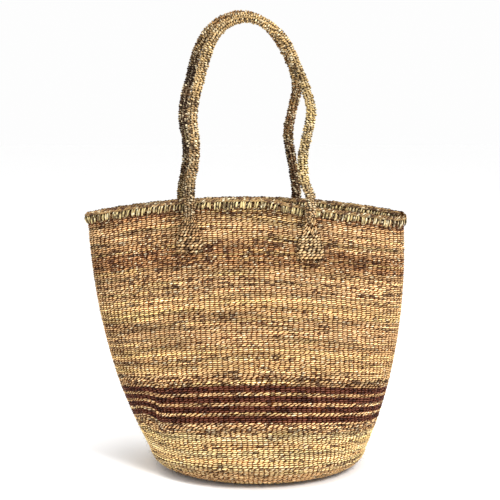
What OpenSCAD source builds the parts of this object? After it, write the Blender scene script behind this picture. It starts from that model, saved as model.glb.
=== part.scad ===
// Twined market basket: a round flat bottom, a wall that rises from the circle to
// a long oval mouth, a whipped rim, and two loop handles of wrapped cord whose
// ends fan out and are lashed to the outside of the wall.
// Millimetres, +Z up, origin at the centre of the flat bottom, X along the mouth.

/* [Body] */
// Radius of the flat disc that the basket stands on
foot_r = 92; // [86:1:98]
// Radius at the ridge where the bottom turns up into the wall
ridge_r = 131; // [127:1:135]
// Height of the ridge
ridge_z = 27; // [24:1:30]
// Half the length of the mouth
mouth_x = 191; // [185:1:197]
// Half the depth of the pressed mouth
mouth_y = 45; // [43:1:48]
// Height of the rim at the middle of the front
rim_z = 326; // [322:1:330]
// How far the mouth has slid sideways from over the bottom
mouth_shift = 15; // [0:1:20]
// How much lower every course lies at the two ends than at the front
side_droop = 21; // [10:1:24]
// How much lower the back of the rim stands than the front
back_drop = 5; // [0:1:6]
// How far the front of the rim sags towards its right end
front_sag = 11; // [0:1:12]
// Thickness of the woven wall
wall_t = 5; // [4:0.5:6]

/* [Courses] */
// Height of the four dyed stripes, each
dyed_h = 7; // [6:0.5:8]
// Height of the three undyed stripes between them, each
plain_h = 3.9; // [3:0.1:4.5]
// Height of the rim's whipping
rim_h = 12; // [11:1:14]
// Number of stakes that the courses are twined round
stakes = 137; // [97:2:141]

/* [Handles] */
// Radius of the wrapped cord
cord_r = 6.5; // [6:0.1:6.6]
// Distance of each handle's pivot line from the middle of the basket
pivot_y = 53; // [53:0.5:55]
// Height of the pivot line, where the cord bends over the rim
pivot_z = 322; // [321:0.5:323]
// Sideways lean of a handle for each millimetre that it rises
lean = 0.209; // [0.195:0.001:0.21]

/* [Hidden] */

steps = 48;              // facets round each course
knot_r = 18;             // radius of the knot that the bottom is started from
gap = 0.1;               // daylight between the bottom's separate rounds
droop_h = 55;            // height over which the courses' droop grows in
core_r = 3.4;            // radius of the handles' inner cords
heel_h = 8;              // length of the last wrapped turns at a handle's ends
tail_t = 4;              // thickness of a fanned-out tail
tail_w = 6.8;            // width of a fanned-out tail
tail_pitch = 7.6;        // distance from one tail to the next
stand_off = 0.4;         // daylight between a tail and the wall behind it
strap_t = 1.6;           // thickness of a lashing
up_slope = 24;           // angle of the collar's cut, clear of a handle laid right over
// heights of the courses at the middle of the front
ridge_half = 3;
stripes_z = 75.6;
accent_h = 6.6;
stripes_top = stripes_z + 4 * dyed_h + 3 * plain_h;
ochre_z = 127;
olive_z = 183;
golden_z = 197;
brown_z = 252;
shoulder_z = 285;
whip_z = rim_z - rim_h;
// where each handle starts and ends, and the way its cord goes, as [x, z]
front_feet = [-80, 61];
back_feet = [-94, 48];
front_route = [
    [-80, 330], [-79, 346], [-75, 370], [-74, 394], [-77, 418], [-75, 442], [-68, 468],
    [-61, 494], [-50, 518], [-31, 534], [-7, 537], [16, 526], [33, 507], [46, 479],
    [56, 453], [62, 428], [57, 400], [52, 376], [53, 350], [61, 330]
];
back_route = [
    [-94, 330], [-91, 346], [-87, 368], [-87, 392], [-91, 418], [-88, 446], [-80, 472],
    [-72, 502], [-56, 526], [-33, 540], [-9, 540], [13, 528], [31, 504], [43, 478],
    [47, 454], [42, 430], [37, 400], [42, 368], [46, 346], [48, 330]
];

function unit(v) = v / norm(v);

// The body's outer surface. t runs 0 to 1 up the turned-up bottom and 1 to 2 up
// the wall, and a is the angle round it.
function height(t) = t <= 1 ? ridge_z * (1 - cos(90 * t)) : ridge_z + (t - 1) * (rim_z - ridge_z);
function course(h) = 1 + (h - ridge_z) / (rim_z - ridge_z);
function half_x(t) = t <= 1 ? foot_r + (ridge_r - foot_r) * sin(90 * t)
    : ridge_r + (mouth_x - ridge_r) * (1 - pow(2 - t, 2.2));
function half_y(t) = t <= 1 ? half_x(t) : mouth_y + (ridge_r - mouth_y) * pow(2 - t, 1.5);
function middle(t) = t <= 1 ? 0 : -mouth_shift * (t - 1);
function skin(t, a) = [
    middle(t) + half_x(t) * cos(a),
    half_y(t) * sin(a),
    height(t) - side_droop * (1 - exp(-height(t) / droop_h)) * pow(cos(a), 2)
        - back_drop * max(0, t - 1) * pow(max(0, sin(a)), 2)
        - front_sag * pow(max(0, t - 1), 3) * sqrt(max(0, -sin(a))) * (1 - exp(-4 * max(0, cos(a) - 0.12)))
];
function outward(t, a) = unit(cross(
    skin(t, a + 0.5) - skin(t, a - 0.5),
    skin(min(t + 0.01, 2), a) - skin(min(t + 0.01, 2) - 0.02, a)
));
function off_skin(t, a, d) = skin(t, a) + d * outward(t, a);
// The point d outside the wall at height h and at x, on the front or the back
function on_wall(x, h, d, side) = let (t = course(h))
    off_skin(t, side * acos((x - middle(t)) / half_x(t)), d);

// A closed course: its cut is a list of [t, distance outside the skin], from the
// outside at the bottom, up, over and down the inside. The bottom's facets are
// split the same way as the top's, so that courses that touch meet exactly.
module ring(cut) {
    n = len(cut);
    polyhedron(
        [for (i = [0:steps - 1]) for (c = cut) off_skin(c[0], i * 360 / steps, c[1])],
        [for (i = [0:steps - 1]) for (j = [0:n - 1])
            let (p = i * n + j, q = i * n + (j + 1) % n,
                 r = (i + 1) % steps * n + (j + 1) % n, s = (i + 1) % steps * n + j)
            each j == n - 1 ? [[p, q, s], [q, r, s]] : [[p, q, r], [p, r, s]]],
        convexity = 8
    );
}

// A band of the wall between two heights, in a few equal lifts
module band(z0, z1, lifts = 1) {
    ring(concat(
        [for (i = [0:lifts]) [course(z0 + (z1 - z0) * i / lifts), 0]],
        [for (i = [lifts:-1:0]) [course(z0 + (z1 - z0) * i / lifts), -wall_t]]
    ));
}

// A solid through a row of rings of points, closed at both ends
module loft(rows) {
    n = len(rows[0]);
    m = len(rows);
    polyhedron(
        [for (r = rows) each r],
        concat(
            [for (i = [0:m - 2]) for (j = [0:n - 1])
                let (p = i * n + j, q = i * n + (j + 1) % n)
                each [[p, p + n, q + n], [p, q + n, q]]],
            [[for (j = [0:n - 1]) j], [for (j = [n - 1:-1:0]) (m - 1) * n + j]]
        ),
        convexity = 8
    );
}

// A pipe between an outer and an inner row of rings, open at both ends
module pipe(outer, inner) {
    n = len(outer[0]);
    m = len(outer);
    k = n * m;
    polyhedron(
        concat([for (r = outer) each r], [for (r = inner) each r]),
        concat(
            [for (i = [0:m - 2]) for (j = [0:n - 1])
                let (p = i * n + j, q = i * n + (j + 1) % n)
                each [[p, p + n, q + n], [p, q + n, q],
                      [k + p, k + q + n, k + p + n], [k + p, k + q, k + q + n]]],
            [for (j = [0:n - 1]) let (q = (j + 1) % n, e = k - n)
                each [[j, q, k + q], [j, k + q, k + j],
                      [e + j, k + e + q, e + q], [e + j, k + e + j, k + e + q]]]
        ),
        convexity = 8
    );
}

// A handle's route as a smooth curve in the plane through its pivot line
function curve(p, i, f) = let (a = p[max(i - 1, 0)], b = p[i], c = p[i + 1], d = p[min(i + 2, len(p) - 1)])
    0.5 * (2 * b + (c - a) * f + (2 * a - 5 * b + 4 * c - d) * f * f + (3 * b - a - 3 * c + d) * f * f * f);
function smooth(p) = concat([for (i = [0:len(p) - 2]) for (f = [0, 0.5]) curve(p, i, f)], [p[len(p) - 1]]);
function lifted(p, side) = [p[0], side * (pivot_y - lean * (p[1] - pivot_z)), p[1]];
function rise(side) = unit([0, -side * lean, 1]);
function along(p, i) = i == 0 ? [0, 1] : i == len(p) - 1 ? [0, -1] : p[i + 1] - p[i - 1];
function cord_rings(route, side, r, n) = let (p = smooth(route), w = cross([1, 0, 0], rise(side)))
    [for (i = [0:len(p) - 1]) let (
        d = unit([along(p, i)[0], -side * lean * along(p, i)[1], along(p, i)[1]]), v = cross(d, w))
        [for (k = [0:n - 1]) lifted(p[i], side) + r * (cos(k * 360 / n) * w + sin(k * 360 / n) * v)]];

// One of the four flat tails: narrow under the collar, then full width on the wall
module tail(x, side, k) {
    lie = stand_off + tail_t / 2;
    stops = [
        [x + k * 3.2, [x + k * 3.2, side * (pivot_y - 1.5), pivot_z - 19], 3.0],
        for (h = [293, 284, 274, 262]) let (u = h > 290 ? 0.75 : 1) [
            0, on_wall(x + k * (3.2 + (tail_pitch - 3.2) * u), h, lie, side), 3 + (tail_w - 3) * u]
    ];
    loft([for (s = stops) let (ex = [s[2] / 2, 0, 0], ey = [0, side * tail_t / 2, 0], flip = side < 0 ? -1 : 1)
        [for (c = [[1, 0], [0.5, 1], [-0.5, 1], [-1, 0], [-0.5, -1], [0.5, -1]])
            s[1] - flip * c[0] * ex + c[1] * ey]]);
}

// A strap that passes over the four tails and goes into the wall at both sides
module strap(x, side, h) {
    low = stand_off;
    under = stand_off + tail_t + 0.8;
    over = under + strap_t;
    reach = 2 * tail_pitch + 1;
    path = [[-reach, low, -reach - strap_t], [-reach, under, -reach - strap_t],
            [reach, under, reach + strap_t], [reach, low, reach + strap_t]];
    loft([for (i = [0:3]) let (c = path[i], top = i == 1 || i == 2 ? over : low)
        side < 0
        ? [on_wall(x + c[0], h, c[1], side), on_wall(x + c[2], h, top, side),
           on_wall(x + c[2], h + 4, top, side), on_wall(x + c[0], h + 4, c[1], side)]
        : [on_wall(x + c[0], h, c[1], side), on_wall(x + c[0], h + 4, c[1], side),
           on_wall(x + c[2], h + 4, top, side), on_wall(x + c[2], h, top, side)]]);
}

// The short round neck under a pivot, cut on a slope so a lowered handle clears it
module collar(x, side) {
    translate([x, side * pivot_y, pivot_z])
    difference() {
        translate([0, 0, -18]) cylinder(r = cord_r - 0.3, h = 16, $fn = 48);
        rotate([-side * up_slope, 0, 0]) translate([-20, -20, -cord_r - 0.4]) cube([40, 40, 40]);
    }
}

// The last turns of a handle's wrapping, with a round end on the pivot
module heel(x, side) {
    translate([x, side * pivot_y, pivot_z]) rotate([side * atan(lean), 0, 0]) {
        sphere(r = cord_r, $fn = 48);
        cylinder(r = cord_r, h = heel_h, $fn = 48);
    }
}

module base_centre() { color("peru") cylinder(r = knot_r, h = wall_t, $fn = 72); }
module base_disc() {
    color("burlywood") difference() {
        cylinder(r = foot_r - 0.4, h = wall_t, $fn = 144);
        translate([0, 0, -1]) cylinder(r = knot_r + gap, h = wall_t + 2, $fn = 72);
    }
}
module base_corner() {
    top = 1 - 0.5 * ridge_half / ridge_z;
    color("tan") ring(concat(
        [for (i = [0:4]) [top * i / 4, 0]],
        [for (i = [4:-1:0]) [top * i / 4, -wall_t]]
    ));
}
module base_ridge_course() {
    t0 = 1 - 0.5 * ridge_half / ridge_z;
    t1 = course(ridge_z + ridge_half);
    color("saddlebrown") ring([[t0, 0], [0.7 * t0 + 0.3, 2], [1, 2.6], [0.5 * t1 + 0.5, 2], [t1, 0],
                               [t1, -wall_t], [t0, -wall_t]]);
}
module lower_wall() { color("goldenrod") band(ridge_z + ridge_half, stripes_z - accent_h, 2); }
module accent_course_lower() { color("wheat") band(stripes_z - accent_h, stripes_z); }
module dyed_stripe(i) {
    z = stripes_z + (i - 1) * (dyed_h + plain_h);
    color("maroon") band(z, z + dyed_h);
}
module plain_stripe(i) {
    z = stripes_z + i * dyed_h + (i - 1) * plain_h;
    color("khaki") band(z, z + plain_h);
}
module accent_course_upper() { color("wheat") band(stripes_top, ochre_z); }
module ochre_band() { color("darkgoldenrod") band(ochre_z, olive_z, 2); }
module olive_band() { color("olive") band(olive_z, golden_z); }
module golden_band() { color("gold") band(golden_z, brown_z, 2); }
module brown_band() { color("sienna") band(brown_z, shoulder_z); }
module shoulder_band() { color("darkkhaki") band(shoulder_z, whip_z); }
module warp_stakes() {
    color("rosybrown") for (i = [0:stakes - 1]) let (a = (i + 0.5) * 360 / stakes)
        loft([for (t = [0.12, 0.62, 1, 1.25, 1.5, 1.72, course(whip_z - 1)])
            let (w = unit(skin(t, a + 0.5) - skin(t, a - 0.5)) * 1.1, p = off_skin(t, a, -wall_t / 2),
                 n = outward(t, a) * 0.8)
            [p + w + n, p + w - n, p - w - n, p - w + n]]);
}
module rim_core() {
    color("tan") ring([[course(whip_z + 0.1), -0.6], [course(rim_z - 3.5), -0.6],
                       [course(rim_z - 3.5), -wall_t + 0.6], [course(whip_z + 0.1), -wall_t + 0.6]]);
}
module rim_binding() {
    foot = course(whip_z);
    shoulder = course(rim_z - 4);
    top = course(rim_z);
    color("palegoldenrod") ring([[foot, 2], [shoulder, 2], [top, -0.5], [top, 0.5 - wall_t],
        [shoulder, -2 - wall_t], [foot, -2 - wall_t], [foot, -0.2 - wall_t],
        [shoulder, -0.2 - wall_t], [course(rim_z - 3), 1.5 - wall_t],
        [course(rim_z - 3), -1.5], [shoulder, 0.2], [foot, 0.2]]);
}
module foot_tails(x, side) { color("goldenrod") for (k = [-1.5:1:1.5]) tail(x, side, k); }
module foot_lashing(x, side) { color("darkkhaki") for (h = [264, 270, 276]) strap(x, side, h); }
module handle_core(route, side) { color("tan") loft(cord_rings(route, side, core_r, 8)); }
module handle_wrap(route, side, tint) {
    color(tint) pipe(cord_rings(route, side, cord_r, 12), cord_rings(route, side, core_r + 0.1, 12));
}
module handle_heels(feet, side, tint) { color(tint) for (x = feet) heel(x, side); }

base_centre();
base_disc();
base_corner();
base_ridge_course();
lower_wall();
accent_course_lower();
for (i = [1:4]) dyed_stripe(i);
for (i = [1:3]) plain_stripe(i);
accent_course_upper();
ochre_band();
olive_band();
golden_band();
brown_band();
shoulder_band();
warp_stakes();
rim_core();
rim_binding();
for (h = [["front", front_feet, -1], ["back", back_feet, 1]]) for (s = [["left", 0], ["right", 1]]) {
    name = str(h[0], "_", s[0], "_");
    color("sienna") collar(h[1][s[1]], h[2]);
    foot_tails(h[1][s[1]], h[2]);
    foot_lashing(h[1][s[1]], h[2]);
}
for (h = [["front", front_route, front_feet, -1, "peru"], ["back", back_route, back_feet, 1, "saddlebrown"]]) {
    name = str(h[0], "_handle_");
    handle_core(h[1], h[3]);
    handle_wrap(h[1], h[3], h[4]);
    handle_heels(h[2], h[3], h[4]);
}
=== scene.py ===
"""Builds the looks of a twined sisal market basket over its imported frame.

Every course of the basket is twined: two strands twist round each other and
take each stake between them, so each stake shows one slanted stitch a course.
The same twining, wound round a cord, makes the two handles.
"""

import logging
import math
from dataclasses import dataclass, field
from enum import Enum
from functools import partial
from typing import Callable, Optional

import bpy
import numpy as np
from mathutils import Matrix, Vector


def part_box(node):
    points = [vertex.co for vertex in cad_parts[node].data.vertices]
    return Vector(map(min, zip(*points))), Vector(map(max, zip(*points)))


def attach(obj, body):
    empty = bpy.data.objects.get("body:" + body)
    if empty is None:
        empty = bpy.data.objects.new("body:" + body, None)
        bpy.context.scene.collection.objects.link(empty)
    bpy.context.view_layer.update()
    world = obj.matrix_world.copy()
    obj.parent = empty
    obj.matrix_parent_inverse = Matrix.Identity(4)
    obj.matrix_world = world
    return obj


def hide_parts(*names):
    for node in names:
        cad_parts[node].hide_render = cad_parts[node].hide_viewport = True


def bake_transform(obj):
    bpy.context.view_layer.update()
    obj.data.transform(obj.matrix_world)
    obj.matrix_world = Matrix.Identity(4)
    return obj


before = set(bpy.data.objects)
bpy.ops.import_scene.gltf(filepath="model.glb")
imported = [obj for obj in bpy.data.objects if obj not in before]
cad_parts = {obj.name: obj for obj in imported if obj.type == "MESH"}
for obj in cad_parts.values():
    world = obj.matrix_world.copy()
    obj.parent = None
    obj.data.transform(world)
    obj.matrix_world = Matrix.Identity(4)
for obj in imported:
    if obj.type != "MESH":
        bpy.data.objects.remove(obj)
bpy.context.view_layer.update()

log = logging.getLogger("basket")
Array = np.ndarray
Layout = tuple[Array, Array, Array, Array, Array, Array]
Stops = tuple[tuple[float, str], ...]
MM = 0.001
BAKE_MAP = "OFBake"
# a strand that lies inside the work gets less painted shade on its inner side, though more than an outer
# strand gets on its outer side
BACK_OF_WORK = -0.55
# from one corner of a strand's cut to the next, for the pattern's scale
CORNER_STEP = 1.15
# spreads whole numbers evenly between 0 and 1
GOLDEN_STEP = 0.618


class Side(Enum):
    """The front or the back of the basket."""

    FRONT = -1
    BACK = 1


class End(Enum):
    """The left or the right foot of a handle, as seen from the front."""

    LEFT = "left"
    RIGHT = "right"


class Yarn(Enum):
    """The batches of undyed yarn, as sRGB colours, from the palest to the darkest; the darkest is no batch
    but painted shadow, for the line under the rim's loops.
    """

    PALE = "d6b684"
    STRAW = "c5a470"
    TAN = "b4946a"
    DULL = "a5865e"
    BROWN = "8d6744"
    SHADE = "6b4a34"


class Slant(Enum):
    """The way that a twined stitch leans as it is seen from outside."""

    UP_TO_THE_RIGHT = 1
    UP_TO_THE_LEFT = -1


# ---------------------------------------------------------------- small helpers


def linear(hex_colour: str, lift: float = 1.0) -> tuple[float, float, float, float]:
    """Turns an sRGB hex colour to linear light.

    Args:
        hex_colour: Six hex digits, such as "c9a25f".
        lift: A factor on the linear values.

    Returns:
        Red, green, blue and an alpha of 1.
    """
    parts = [int(hex_colour[i : i + 2], 16) / 255 for i in (0, 2, 4)]
    light = [p / 12.92 if p <= 0.04045 else ((p + 0.055) / 1.055) ** 2.4 for p in parts]
    return (*[min(1.0, v * lift) for v in light], 1.0)


def smoothstep(v: Array) -> Array:
    """Eases v from 0 to 1 over the same range."""
    v = np.clip(v, 0.0, 1.0)
    return v * v * (3 - 2 * v)


def unit(v: Array) -> Array:
    """Scales each row of v to length 1."""
    return v / np.maximum(np.linalg.norm(v, axis=-1, keepdims=True), 1e-9)


def travel(line: Array) -> Array:
    """The distance travelled at each point of a line."""
    return np.concatenate([[0], np.cumsum(np.linalg.norm(np.diff(line, axis=0), axis=1))])


def wander(rng: np.random.Generator, at: Array, knots: Array, size: float = 1.0) -> Array:
    """The slow unevenness of hand work.

    Args:
        rng: Where chance comes from.
        at: Where the value is read.
        knots: Where a new value is drawn.
        size: The spread of the values.

    Returns:
        The value at each place, never more than twice the size.
    """
    return size * np.interp(at, knots, rng.normal(size=len(knots)).clip(-2, 2))


def add_node(
    tree: bpy.types.NodeTree,
    kind: str,
    settings: Optional[dict] = None,
    values: Optional[dict] = None,
    links: Optional[dict] = None,
) -> bpy.types.Node:
    """Adds a node with its settings, constants and incoming links.

    Args:
        tree: The tree to add to.
        kind: The node's type name.
        settings: Attributes of the node itself.
        values: Input name or index to a constant.
        links: Input name or index to the output socket that feeds it.

    Returns:
        The new node.
    """
    node = tree.nodes.new(kind)
    for key, value in (settings or {}).items():
        setattr(node, key, value)
    for key, value in (values or {}).items():
        node.inputs[key].default_value = value
    for key, socket in (links or {}).items():
        tree.links.new(socket, node.inputs[key])
    return node


def fix_to_basket(obj: bpy.types.Object, node: Optional[str] = None) -> None:
    """Makes a piece ride on the basket.

    Args:
        obj: The piece.
        node: The frame's node that it stands for, if any.
    """
    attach(obj, "basket")
    if node:
        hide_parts(node)


# ---------------------------------------------------------------- finishes


@dataclass(frozen=True)
class Grain:
    """A pattern in the yarn, given by the size of its grain in millimetres.

    Attributes:
        by: What it follows: "lay" runs along each strand, "place" lies over the work.
        along: Length of its grain, along the strand or round the basket.
        across: Width of its grain, the other way.
        step: How far apart two neighbouring strands or pieces read the pattern.
        detail: How much finer grain lies over it.
        rough: How strong the finer grain is.
    """

    by: str
    along: float
    across: float
    step: float
    detail: float
    rough: float = 0.6


@dataclass(frozen=True)
class Sisal:
    """Hand-spun sisal: a matt plant fibre, seen as short strands that each have their own tone.

    Attributes:
        name: The material's name.
        stops: Pairs of a place up the piece, 0 to 1, and the yarn's colour there.
        dark: Colour of the darkest lengths of yarn.
        pale: Colour of the palest lengths of yarn.
        mottle: Pairs of a place up the piece and how much dark yarn is mixed in there.
        warm: Colour of the redder lengths of yarn.
        straw: Colour of the yellower lengths of yarn.
        painted_crevice_shade: Painted shade: what the depth of the weave multiplies the colour by.
        depth: Relief at or below which the painted shade of the depth is full, and at or above which there
            is none.
        dark_share: How much of the yarn is dark, 0 to 1.
        pale_share: How much of the yarn is pale, 0 to 1.
        run_mm: Length over which a strand keeps its tone.
        lift: Factor that makes up for the shade between the stitches.
        patch: Strength of the broad patches of tone.
        stitch_tone: How much one stitch differs from the next.
    """

    name: str
    stops: Stops
    dark: str = "4a2c22"
    pale: str = "f2e2ba"
    mottle: tuple[tuple[float, float], ...] = ((0.0, 0.5), (1.0, 0.5))
    warm: str = "af8657"
    straw: str = "dcb273"
    painted_crevice_shade: str = "74481e"
    depth: tuple[float, float] = (0.35, 0.88)
    dark_share: float = 0.30
    pale_share: float = 0.30
    run_mm: float = 9.0
    lift: float = 1.3
    patch: float = 0.24
    stitch_tone: float = 0.38

    def build(self) -> bpy.types.Material:
        """Makes the material's node tree.

        Returns:
            The finished material.
        """
        mat = bpy.data.materials.new(self.name)
        mat.use_nodes = True
        tree = mat.node_tree
        tree.nodes.clear()
        facts = {name: add_node(tree, "ShaderNodeAttribute", {"attribute_name": name}).outputs[kind]
                 for name, kind in (("lay", "Vector"), ("place", "Vector"), ("course", "Fac"),
                                    ("relief", "Fac"))}
        tones = {}
        for name, grain in self._grains().items():
            spread = add_node(tree, "ShaderNodeVectorMath", {"operation": "MULTIPLY"},
                              {1: (1 / grain.along, 1 / grain.across, grain.step)}, {0: facts[grain.by]})
            tones[name] = add_node(tree, "ShaderNodeTexNoise", {"noise_dimensions": "3D"},
                                   {"Scale": 1.0, "Detail": grain.detail, "Roughness": grain.rough},
                                   {"Vector": spread.outputs[0]}).outputs["Fac"]
        bump = add_node(tree, "ShaderNodeBump", {}, {"Strength": 0.7, "Distance": 0.0004},
                        {"Height": tones["fibre"]})
        # dry fibre is dull, and it shines a little only where it stands clear of the depth
        sheens = []
        for source, start, end, low, high in ((tones["fibre"], 0.2, 0.8, 0.52, 0.82),
                                              (facts["relief"], 0.5, 0.95, 0.0, 0.35)):
            sheens.append(add_node(
                tree, "ShaderNodeMapRange", {"clamp": True},
                {"From Min": start, "From Max": end, "To Min": low, "To Max": high},
                {"Value": source}).outputs[0])
        shader = add_node(
            tree, "ShaderNodeBsdfPrincipled", {}, {"IOR": 1.45},
            {"Base Color": self._colour(tree, facts, tones), "Roughness": sheens[0],
             "Specular IOR Level": sheens[1], "Normal": bump.outputs["Normal"]},
        )
        add_node(tree, "ShaderNodeOutputMaterial", {}, {}, {"Surface": shader.outputs["BSDF"]})
        return mat

    def _grains(self) -> dict[str, Grain]:
        """The patterns that the yarn's tones follow.

        Returns:
            Each pattern by its name.
        """
        return {
            # one batch of yarn runs for a hand's breadth along three or four courses
            "batch": Grain("place", 120.0, 8.0, 0.0, 3.0),
            # the hue changes every two or three courses, where new fibre is spun in
            "spun": Grain("place", 170.0, 5.5, 4.7, 3.0),
            # and a whole course runs lighter or darker for a while
            "streak": Grain("place", 85.0, 2.6, 1.9, 2.0),
            # dark lengths of yarn come in clusters
            "cluster": Grain("place", 38.0, 4.5, 2.7, 2.0),
            # each strand keeps a tone for about a stitch, and the next strand has another
            "tone": Grain("lay", self.run_mm, math.inf, 7.31, 2.0, 0.7),
            "fleck": Grain("lay", 12.0, math.inf, 5.77, 2.0, 0.65),
            "glint": Grain("lay", 6.0, math.inf, 9.13, 1.0, 0.5),
            # fibres are finer than a picture shows, so they are drawn 0.35 mm wide
            "fibre": Grain("lay", 5.0, 0.35, 3.3, 2.0),
        }

    def _colour(self, tree: bpy.types.NodeTree, facts: dict[str, bpy.types.NodeSocket],
                tones: dict[str, bpy.types.NodeSocket]) -> bpy.types.NodeSocket:
        """Lays the yarn's tones over one another.

        Args:
            tree: The material's tree.
            facts: What the mesh tells, by name.
            tones: The patterns, by name.

        Returns:
            The colour's socket.
        """
        drift = add_node(tree, "ShaderNodeMath", {"operation": "MULTIPLY_ADD"},
                         {1: 0.05, 2: -0.025}, {0: tones["batch"]})
        where = add_node(tree, "ShaderNodeMath", {"operation": "ADD"}, {},
                         {0: facts["course"], 1: drift.outputs[0]})
        ramps = []
        for stops in ([(at, linear(hue, self.lift)) for at, hue in self.stops],
                      [(at, (amount, amount, amount, 1.0)) for at, amount in self.mottle]):
            ramp = add_node(tree, "ShaderNodeValToRGB", {}, {}, {"Fac": where.outputs[0]})
            points = ramp.color_ramp.elements
            points.remove(points[1])
            points[0].position, points[0].color = stops[0]
            for at, value in stops[1:]:
                points.new(at).color = value
            ramps.append(ramp.outputs["Color"])
        colour, dark = ramps
        # dark lengths show where a fleck, a cluster and the mottle of that height meet
        fleck = add_node(tree, "ShaderNodeMath", {"operation": "MULTIPLY_ADD"}, {1: 0.55},
                         {0: tones["cluster"], 2: tones["fleck"]})
        dark = add_node(tree, "ShaderNodeMath", {"operation": "MULTIPLY_ADD"}, {1: 0.13},
                        {0: dark, 2: fleck.outputs[0]})
        dark_line = 0.97 - 0.25 * self.dark_share
        pale_line = 0.66 - 0.25 * self.pale_share
        # each kind of yarn mixes in where its pattern is between two values, up to a share
        for source, start, end, share, yarn in (
            (tones["spun"], 0.50, 0.62, 0.42, linear(self.warm, self.lift)),
            (tones["spun"], 0.48, 0.36, 0.48, linear(self.straw, self.lift)),
            (dark.outputs[0], dark_line, dark_line + 0.06, 0.85, linear(self.dark)),
            (tones["glint"], pale_line, pale_line + 0.08, 0.8, linear(self.pale)),
        ):
            amount = add_node(tree, "ShaderNodeMapRange", {"clamp": True},
                              {"From Min": start, "From Max": end, "To Min": 0.0, "To Max": share},
                              {"Value": source})
            colour = add_node(tree, "ShaderNodeMix", {"data_type": "RGBA"}, {7: yarn},
                              {0: amount.outputs[0], 6: colour}).outputs[2]
        # and the light and dark of the patches, the stitches and the fibres lies over all of it
        for source, start, end, low, high in (
            (tones["tone"], 0.32, 0.68, 1 - self.stitch_tone, 1 + self.stitch_tone),
            (tones["batch"], 0.30, 0.70, 1 - self.patch, 1 + self.patch),
            (tones["streak"], 0.34, 0.66, 1 - 1.3 * self.patch, 1 + 1.3 * self.patch),
            (tones["fibre"], 0.25, 0.75, 0.8, 1.16),
        ):
            gain = add_node(tree, "ShaderNodeMapRange", {"clamp": True},
                            {"From Min": start, "From Max": end, "To Min": low, "To Max": high},
                            {"Value": source})
            colour = add_node(tree, "ShaderNodeMix", {"data_type": "RGBA", "blend_type": "MULTIPLY"},
                              {0: 1.0}, {6: colour, 7: gain.outputs[0]}).outputs[2]
        # painted shade: in the depth of the weave, where shade falls, the colour is multiplied to a deep
        # brown
        deep = add_node(tree, "ShaderNodeMix", {"data_type": "RGBA", "blend_type": "MULTIPLY"},
                        {0: 1.0, 7: linear(self.painted_crevice_shade)}, {6: colour})
        unshaded = add_node(tree, "ShaderNodeMapRange", {"clamp": True},
                         {"From Min": self.depth[0], "From Max": self.depth[1]},
                         {"Value": facts["relief"]})
        return add_node(tree, "ShaderNodeMix", {"data_type": "RGBA"}, {},
                        {0: unshaded.outputs[0], 6: deep.outputs[2], 7: colour}).outputs[2]


@dataclass(frozen=True)
class Paper:
    """Seamless white studio paper: matt, so the basket stands on an even white."""

    name: str = "studio_paper"
    colour: str = "ffffff"
    roughness: float = 0.9

    def build(self) -> bpy.types.Material:
        """Makes the material.

        Returns:
            The finished material.
        """
        mat = bpy.data.materials.new(self.name)
        mat.use_nodes = True
        shader = mat.node_tree.nodes["Principled BSDF"]
        shader.inputs["Base Color"].default_value = linear(self.colour)
        shader.inputs["Roughness"].default_value = self.roughness
        return mat


# ---------------------------------------------------------------- the body's form


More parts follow.
